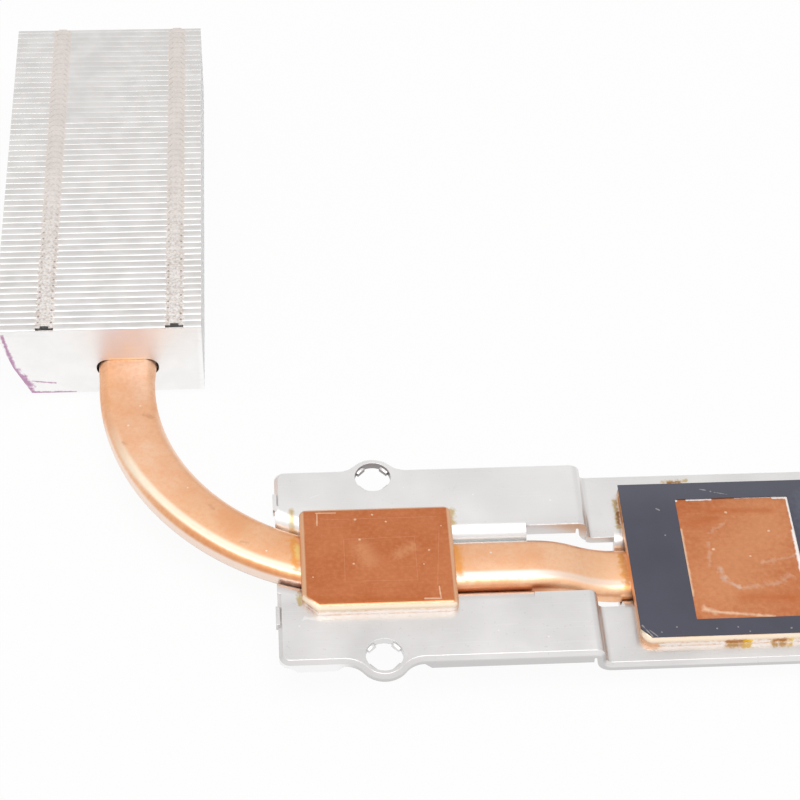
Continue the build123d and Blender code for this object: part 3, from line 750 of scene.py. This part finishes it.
GPU_PLATE_MARKS = [
    (0.35, PLATE_RUBBED, [((44.5, -4.0, WINDOW_Z), (50.5, 5.0, WINDOW_Z), 9.5, 0.8, 0.3)]),
    (0.45, (0.50, 0.12, 0.03), [
        ((41.6, 5.6, WINDOW_Z), (44.4, 6.4, WINDOW_Z), 1.1, 1.0, 0.5),
        ((44.0, 7.6, WINDOW_Z), (52.0, 7.4, WINDOW_Z), 0.8, 1.0, 0.5),
        ((46.0, -6.3, WINDOW_Z), (52.5, -6.6, WINDOW_Z), 1.2, 1.0, 0.5),
    ]),
    (0.55, PLATE_SCRATCHED, [
        ((41.5, -8.3, WINDOW_Z), (49.5, -9.4, WINDOW_Z), 0.30, 1.0, 0.5),
        ((40.9, -7.9, WINDOW_Z), (42.0, -8.4, WINDOW_Z), 0.55, 1.0, 0.5),
        ((39.7, 4.7, WINDOW_Z), (39.7, -5.8, WINDOW_Z), 0.26, 0.8, 0.3),
    ] + dots(WINDOW_Z, 0.2, (48.0, 0.1), (51.1, 4.1), (43.4, 1.4), (46.0, 7.3))),
    (0.9, (1.0, 0.98, 0.96), [
        ((41.2, 9.55, WINDOW_Z), (44.3, 9.55, WINDOW_Z), 0.20, 0.5, 0.3),
        ((47.5, 9.62, WINDOW_Z), (52.5, 9.62, WINDOW_Z), 0.10, 0.6, 0.5),
        ((52.6, 9.55, WINDOW_Z), (54.4, 9.5, WINDOW_Z), 0.28, 0.5, 0.3),
        ((54.4, 9.4, WINDOW_Z), (54.42, 3.0, WINDOW_Z), 0.22, 0.5, 0.3),
        ((54.42, 4.0, WINDOW_Z), (54.3, -3.0, WINDOW_Z), 0.40, 0.5, 0.3),
        ((39.6, 9.6, WINDOW_Z), (39.7, 9.5, WINDOW_Z), 0.25, 0.5, 0.3),
    ]),
    (0.6, (0.70, 0.52, 0.42), [
        ((43.8, -1.9, WINDOW_Z), (44.2, -3.6, WINDOW_Z), 0.55, 1.0, 0.9),
        ((44.2, -3.6, WINDOW_Z), (45.9, -4.8, WINDOW_Z), 0.42, 1.0, 0.9),
    ]),
    (0.22, (0.80, 0.62, 0.50), [
        ((45.9, -4.8, WINDOW_Z), (48.5, -4.6, WINDOW_Z), 0.45, 1.0, 0.9),
        ((48.5, -4.6, WINDOW_Z), (51.4, -4.1, WINDOW_Z), 0.45, 1.0, 0.9),
        ((51.4, -4.1, WINDOW_Z), (52.5, -3.2, WINDOW_Z), 0.60, 1.0, 0.9),
        ((49.4, -0.9, WINDOW_Z), (53.6, -0.2, WINDOW_Z), 0.35, 1.0, 1.2),
        ((43.4, 4.0, WINDOW_Z), (45.6, 5.6, WINDOW_Z), 0.35, 1.0, 1.2),
        ((43.0, 2.4, WINDOW_Z), (42.6, -1.0, WINDOW_Z), 0.35, 1.0, 1.2),
    ]),
    # Painted highlight on the near rim
    (0.85, BRIGHT_RIM_HIGHLIGHT, [
        ((33.4, -12.25, LOW_Z + 1.15), (61.2, -12.25, LOW_Z + 1.15), 0.5, 0.4, 0.15),
        ((32.5, -10.8, LOW_Z + 1.15), (33.4, -12.25, LOW_Z + 1.15), 0.5, 0.4, 0.15),
    ]),
    (0.9, SOLDER, [((35.0, -12.4, LOW_Z + 0.35), (61.0, -12.4, LOW_Z + 0.35), 0.55, 0.7, 0.5)]),
    (0.85, (0.50, 0.18, 0.02), [
        ((43.2, -12.4, LOW_Z + 0.5), (45.2, -12.4, LOW_Z + 0.5), 0.5, 0.6, 0.5),
        ((49.2, -12.4, LOW_Z + 0.5), (50.6, -12.4, LOW_Z + 0.5), 0.45, 0.6, 0.5),
        ((32.3, 10.6, LOW_Z + 0.7), (32.3, 6.9, LOW_Z + 0.7), 0.5, 0.6, 0.5),
        ((39.6, 12.6, LOW_Z + 0.7), (41.6, 12.6, LOW_Z + 0.7), 0.5, 0.6, 0.5),
    ]),
    (1.0, (1.0, 0.66, 0.03), [
        ((45.4, -12.4, LOW_Z + 0.5), (46.1, -12.4, LOW_Z + 0.5), 0.4, 0.6, 0.5),
        ((50.9, -12.4, LOW_Z + 0.5), (51.4, -12.4, LOW_Z + 0.5), 0.35, 0.6, 0.5),
    ]),
]


def make_plate_copper(name, box, plate_marks):
    """Rubbed copper with a painted highlight on its rim and the plate's own marks."""
    low, high = (Vector(corner) / MM for corner in box)
    centre = ((low.x + high.x) / 2, (low.y + high.y) / 2, 0)
    half = ((high.x - low.x) / 2, (high.y - low.y) / 2, 0)
    material = new_material(name)
    tree = material.node_tree
    place = position_mm(tree)
    patches = noise(tree, place, 0.16, 3.0)
    small = noise(tree, place, 1.9, 4.0, 0.65)
    fine = grain(tree, place, (0.25, 4.0, 4.0))
    rag = noise(tree, place, 1.7, 3.0)
    color = blend(tree, ramped(tree, patches, 0.3, 0.7), PLATE_COLOR, (0.56, 0.19, 0.078))
    color = blend(tree, ramped(tree, small, 0.4, 0.75, 0.0, 0.22), color, PLATE_PALE)
    color = blend(tree, ramped(tree, fine, 0.5, 0.75, 0.0, 0.3), color, (0.62, 0.25, 0.12))
    # Painted highlight around the rim
    color = blend(tree, times(tree, rim_of(tree, place, centre, half, 0.7), 0.65), color, COPPER_RIM_HIGHLIGHT)
    color = painted(tree, color, place, rag, plate_marks)
    rough = ramped(tree, small, 0.3, 0.7, 0.36, 0.46)
    return finish_material(material, color, rough, 1.0, reckon(tree, "ADD", small, fine), 0.004 * MM)


# A painted sheen on the film's right part
FILM_SHEEN = [(0.5, (0.16, 0.18, 0.23), [((57.0, 8.5, FILM_Z), (57.6, 2.0, FILM_Z), 2.6, 1.0, 0.5)])]
FILM_MARKS = [
    (0.3, PALE_RESIDUE, [
        ((36.9, 8.2, FILM_Z), (37.3, 7.9, FILM_Z), 0.10, 0.5, 0.8),
        ((45.0, 10.6, FILM_Z), (46.6, 10.2, FILM_Z), 0.07, 0.6, 1.2),
        ((43.1, 11.2, FILM_Z), (43.9, 11.0, FILM_Z), 0.08, 0.6, 1.2),
        ((32.6, -10.2, FILM_Z), (33.7, -11.9, FILM_Z), 0.10, 0.6, 1.0),
        ((33.4, -10.9, FILM_Z), (34.3, -11.9, FILM_Z), 0.08, 0.6, 1.0),
    ] + dots(FILM_Z, 0.12, (37.5, 3.8), (36.9, -10.6), (34.9, -11.3), (44.6, -10.9), (46.0, -11.6),
             (44.5, 10.8), (51.3, -11.3), (41.9, -11.0))),
]


def make_film_finish():
    """Dark matt film with a painted sheen, and painted light that makes its far edge paler."""
    material = new_material("film")
    tree = material.node_tree
    place = position_mm(tree)
    patches = noise(tree, place, 0.12, 3.0)
    small = noise(tree, place, 4.0, 3.0)
    rag = noise(tree, place, 1.8, 3.0)
    color = blend(tree, ramped(tree, patches, 0.3, 0.7), (0.055, 0.056, 0.080), (0.071, 0.073, 0.102))
    color = painted(tree, color, place, rag, FILM_SHEEN)
    # Painted light on the far part
    lit_far_part = ramped(tree, axes(tree, place)[1], 6.0, 12.0, 0.0, 0.4)
    color = blend(tree, lit_far_part, color, (0.12, 0.125, 0.155))
    color = painted(tree, color, place, rag, FILM_MARKS)
    rough = ramped(tree, patches, 0.3, 0.7, 0.52, 0.62)
    return finish_material(material, color, rough, 0.0, small, 0.01 * MM)


# Heat pipe

def draw_pipe_ring(tip, tip_scale):
    """The pinched ring at the pipe's right end: a circle pulled flat and drawn in."""
    bpy.ops.object.select_all(action="DESELECT")
    bpy.ops.mesh.primitive_circle_add(vertices=PIPE_RING_STEPS, radius=PIPE_HEIGHT / 2, location=tip,
                                      rotation=(0, math.pi / 2, 0))
    pipe = bpy.context.active_object
    pipe.name = "pressed_heat_pipe"
    settle(pipe)
    open_piece(pipe)
    for side in (-1, 1):
        pick(pipe, lambda v: (v.co.y - PIPE_LINE_Y) * side > SAME_POINT)
        move(y=side * (PIPE_WIDTH - PIPE_HEIGHT) / 2)
    bpy.ops.mesh.select_all(action="SELECT")
    bpy.ops.transform.resize(value=(1, *tip_scale), center_override=tip)
    return pipe


def spin_joggle(low_z):
    """Two bends of one radius carry the pipe up from the lower to the upper level."""
    run = CUTOUT_RIGHT - CUTOUT_LEFT
    radius = (run ** 2 + JOGGLE_DROP ** 2) / (4 * JOGGLE_DROP)
    angle = 2 * math.atan2(JOGGLE_DROP, run)
    for x, z, turn in ((CUTOUT_RIGHT, low_z + radius, -1), (CUTOUT_LEFT, pipe_z - radius, 1)):
        bpy.ops.mesh.spin(steps=PIPE_JOGGLE_STEPS, angle=angle, center=(x, PIPE_LINE_Y, z), axis=(0, turn, 0))


def draw_through_fins(end_y):
    """Draws the pipe into the stack, where it fills the holes, and pinches its end."""
    front_y = FRONT_Y * MM
    column_x = PIPE_BEND_END_X - PIPE_BEND_RADIUS
    draw_out(y=front_y - PIPE_LINE_Y - PIPE_BEND_RADIUS)
    swell = (PIPE_FIN_WIDENING, 1, PIPE_FIN_THICKENING)
    bpy.ops.transform.resize(value=swell, center_override=(column_x, front_y, pipe_z))
    draw_out(y=end_y - PIPE_END_TAPER - front_y)
    draw_out(y=PIPE_END_TAPER)
    pinch = (PIPE_TIP_SCALE[0], 1, PIPE_TIP_SCALE[1])
    bpy.ops.transform.resize(value=pinch, center_override=(column_x, end_y, pipe_z))
    bpy.ops.mesh.edge_face_add()


def make_pipe():
    tip_x, end_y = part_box("heat_pipe")[1].x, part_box("heat_pipe")[1].y
    low_z = pipe_z - JOGGLE_DROP
    pipe = draw_pipe_ring((tip_x, PIPE_LINE_Y, low_z), PIPE_TIP_SCALE)
    draw_out(x=-PIPE_END_TAPER)
    grow = tuple(1 / share for share in PIPE_TIP_SCALE)
    bpy.ops.transform.resize(value=(1, *grow), center_override=(tip_x - PIPE_END_TAPER, PIPE_LINE_Y, low_z))
    draw_out(x=CUTOUT_RIGHT - tip_x + PIPE_END_TAPER)
    spin_joggle(low_z)
    draw_out(x=PIPE_BEND_END_X - CUTOUT_LEFT)
    bend_centre = (PIPE_BEND_END_X, PIPE_LINE_Y + PIPE_BEND_RADIUS, pipe_z)
    bpy.ops.mesh.spin(steps=PIPE_BEND_STEPS, angle=math.pi / 2, center=bend_centre, axis=(0, 0, 1))
    draw_through_fins(end_y)
    pick(pipe, lambda v: v.co.x > tip_x - SAME_POINT)
    bpy.ops.mesh.edge_face_add()
    bpy.ops.mesh.select_all(action="SELECT")
    bpy.ops.mesh.remove_doubles(threshold=SAME_POINT)
    bpy.ops.mesh.normals_make_consistent(inside=False)
    close_piece()
    only(pipe)
    bpy.ops.object.shade_smooth_by_angle(angle=math.radians(PIPE_SMOOTH_ANGLE))
    return pipe


finish_piece(make_pipe(), make_pipe_copper(), "pipe_copper", "heat_pipe")


# Bracket, plates and film

def weighted(piece):
    """Smooth shading over the rounds, with flat faces that stay flat."""
    only(piece)
    bpy.ops.object.shade_smooth_by_angle(angle=math.radians(SMOOTH_ANGLE))
    modifier = piece.modifiers.new("flat faces stay flat", "WEIGHTED_NORMAL")
    modifier.keep_sharp = True
    modifier.weight = 100
    apply_modifiers(piece)


def round_marked(piece, name, width, segments):
    """Rounds the edges that carry a bevel weight."""
    bevel = piece.modifiers.new(name, "BEVEL")
    bevel.limit_method = "WEIGHT"
    bevel.width = width
    bevel.segments = segments
    bevel.use_clamp_overlap = True
    apply_modifiers(piece)


def soften_rims(piece, width, segments, above=-1.0):
    """Rounds the sharp edges that reach above a height."""
    normals = {}
    for face in piece.data.polygons:
        for key in face.edge_keys:
            normals.setdefault(key, []).append(face.normal)
    weights = piece.data.attributes.new("bevel_weight_edge", "FLOAT", "EDGE")
    for edge in piece.data.edges:
        sides = normals[edge.key]
        sharp = len(sides) == 2 and sides[0].angle(sides[1]) > math.radians(SHARP_ANGLE)
        high = any(piece.data.vertices[i].co.z > above for i in edge.vertices)
        weights.data[edge.index].value = 1.0 if sharp and high else 0.0
    round_marked(piece, "soft rims", width, segments)


def slope_lips(bracket):
    """Slopes the ends of the stiffening lips by the ears."""
    open_piece(bracket)
    for end_x, shift in LIP_ENDS:
        pick(bracket, lambda v: abs(v.co.x - end_x * MM) < 2 * NEAR and abs(v.co.y) > LIP_FROM_Y * MM
             and v.co.z < LIP_BELOW_Z * MM)
        move(x=shift * MM)
    close_piece()


def dress_plate(node, name, material_name, plate_marks):
    low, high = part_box(node)
    plate = copy_of(node, name)
    soften_rims(plate, PLATE_RIM_ROUND, 3, low.z + NEAR)
    weighted(plate)
    copper = make_plate_copper(material_name, (low, high), plate_marks)
    finish_piece(plate, copper, "plate_copper", node)


bracket = copy_of("bracket", "stamped_bracket")
slope_lips(bracket)
soften_rims(bracket, SHEET_RIM_ROUND, 2)
weighted(bracket)
finish_piece(bracket, make_sheet(), "bracket_sheet", "bracket")
dress_plate("cpu_plate", "processor_plate", "cpu_plate_copper", CPU_PLATE_MARKS)
dress_plate("gpu_plate", "graphics_plate", "gpu_plate_copper", GPU_PLATE_MARKS)
film = copy_of("insulating_film", "masking_film")
finish_piece(film, make_film_finish(), "film", "insulating_film")


# Fins

def close_tabs(fin, flange_end):
    """Widens each tab a little, so that it fills the next fin's slot as pressed foil does."""
    open_piece(fin)
    for track_x in FIN_TRACKS:
        for side in (-1, 1):
            pick(fin, lambda v: v.co.y > flange_end - NEAR and v.co.z > 0
                 and 0 < side * (v.co.x / MM - track_x) < TAB_HALF_WIDTH)
            move(x=side * TAB_WIDENING)
    pick(fin, lambda v: v.co.y > flange_end + TAB_TIP_FROM * MM)
    move(y=TAB_WIDENING)
    close_piece()


def round_folds(fin, node, width):
    """Rounds the front edges at the top and bottom, where the foil is folded."""
    low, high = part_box(node)
    weights = fin.data.attributes.new("bevel_weight_edge", "FLOAT", "EDGE")
    for edge in fin.data.edges:
        ends = [fin.data.vertices[i].co for i in edge.vertices]
        front = all(abs(v.y - low.y) < NEAR for v in ends)
        level = any(all(abs(v.z - z) < NEAR for v in ends) for z in (low.z, high.z))
        weights.data[edge.index].value = 1.0 if front and level else 0.0
    round_marked(fin, "rounded folds", width, 3)


foil = make_foil()
fin_nodes = sorted(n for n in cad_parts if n.startswith("fin_"))
for number, node in enumerate(fin_nodes):
    fin = copy_of(node, node.replace("fin", "foil_fin"))
    if node != fin_nodes[-1]:
        close_tabs(fin, (FRONT_Y + (number + 1) * FIN_PITCH) * MM)
    if number:
        round_folds(fin, node, FIN_FOLD_ROUND * (1 - FAR_FOLD_LOSS * number / len(fin_nodes)))
    weighted(fin)
    finish_piece(fin, foil, "fin_foil", node)


# Floor, light and camera

def seen_or_mirrored(tree, path):
    return reckon(tree, "MAXIMUM", path["Is Camera Ray"], path["Is Glossy Ray"])


def white_room():
    """White to the eye, a little darker on its far side in metal, and dimmer as a light on matt things."""
    world = bpy.data.worlds.new("pale_room")
    bpy.context.scene.world = world
    world.use_nodes = True
    tree = world.node_tree
    path = add(tree, "ShaderNodeLightPath").outputs
    direction_y = axes(tree, add(tree, "ShaderNodeTexCoord").outputs["Generated"])[1]
    in_metal = ramped(tree, direction_y, -0.2, 0.5, 1.0, ROOM_FAR_SIDE)
    bright = reckon(tree, "MAXIMUM", in_metal, path["Is Camera Ray"])
    levels = {"Value": seen_or_mirrored(tree, path), "To Min": ROOM_LIGHT, "To Max": bright}
    strength = add(tree, "ShaderNodeMapRange", levels).outputs["Result"]
    background = tree.nodes["Background"]
    background.inputs["Color"].default_value = (*WHITE, 1.0)
    tree.links.new(strength, background.inputs["Strength"])


def white_floor():
    bpy.ops.object.select_all(action="DESELECT")
    bpy.ops.mesh.primitive_plane_add(size=FLOOR_SIZE, location=(0, 0, floor_z))
    floor = bpy.context.active_object
    floor.name = "floor"
    settle(floor)
    material = new_material("white_floor")
    tree = material.node_tree
    path = add(tree, "ShaderNodeLightPath").outputs
    share = times(tree, seen_or_mirrored(tree, path), FLOOR_GLOW)
    matt = add(tree, "ShaderNodeBsdfDiffuse", {"Color": (FLOOR_GREY, FLOOR_GREY, FLOOR_GREY, 1.0)})
    glow = add(tree, "ShaderNodeEmission", {"Color": (*WHITE, 1.0), "Strength": 1.0})
    mix = add(tree, "ShaderNodeMixShader", {0: share, 1: matt.outputs[0], 2: glow.outputs[0]})
    add(tree, "ShaderNodeOutputMaterial", {0: mix.outputs[0]})
    floor.data.materials.append(material)


def overhead_lamp():
    light = bpy.data.lights.new("overhead_softbox", "AREA")
    light.shape = "DISK"
    light.size = LAMP_SIZE
    light.energy = LAMP_POWER
    lamp = bpy.data.objects.new("overhead_softbox", light)
    bpy.context.scene.collection.objects.link(lamp)
    lamp.location = LAMP_PLACE
    lamp.rotation_euler = (-Vector(LAMP_PLACE)).to_track_quat("-Z", "Y").to_euler()


def camera_turned():
    down, turn, roll = (math.radians(a) for a in (CAMERA_DOWN, CAMERA_TURN, CAMERA_ROLL))
    forward = Vector((math.sin(turn) * math.cos(down), math.cos(turn) * math.cos(down), -math.sin(down)))
    right = Vector((math.cos(turn), -math.sin(turn), 0))
    up = right.cross(forward)
    across = right * math.cos(roll) + up * math.sin(roll)
    upright = up * math.cos(roll) - right * math.sin(roll)
    return Matrix((across, upright, -forward)).transposed()


def place_camera():
    camera = bpy.data.cameras.new("camera")
    camera.lens = CAMERA_LENS
    camera.sensor_width = 36
    camera.clip_start = 0.01
    holder = bpy.data.objects.new("camera", camera)
    bpy.context.scene.collection.objects.link(holder)
    holder.matrix_world = Matrix.Translation(CAMERA_PLACE) @ camera_turned().to_4x4()
    bpy.context.scene.camera = holder


white_room()
white_floor()
overhead_lamp()
place_camera()
bpy.context.scene.view_settings.view_transform = "Standard"
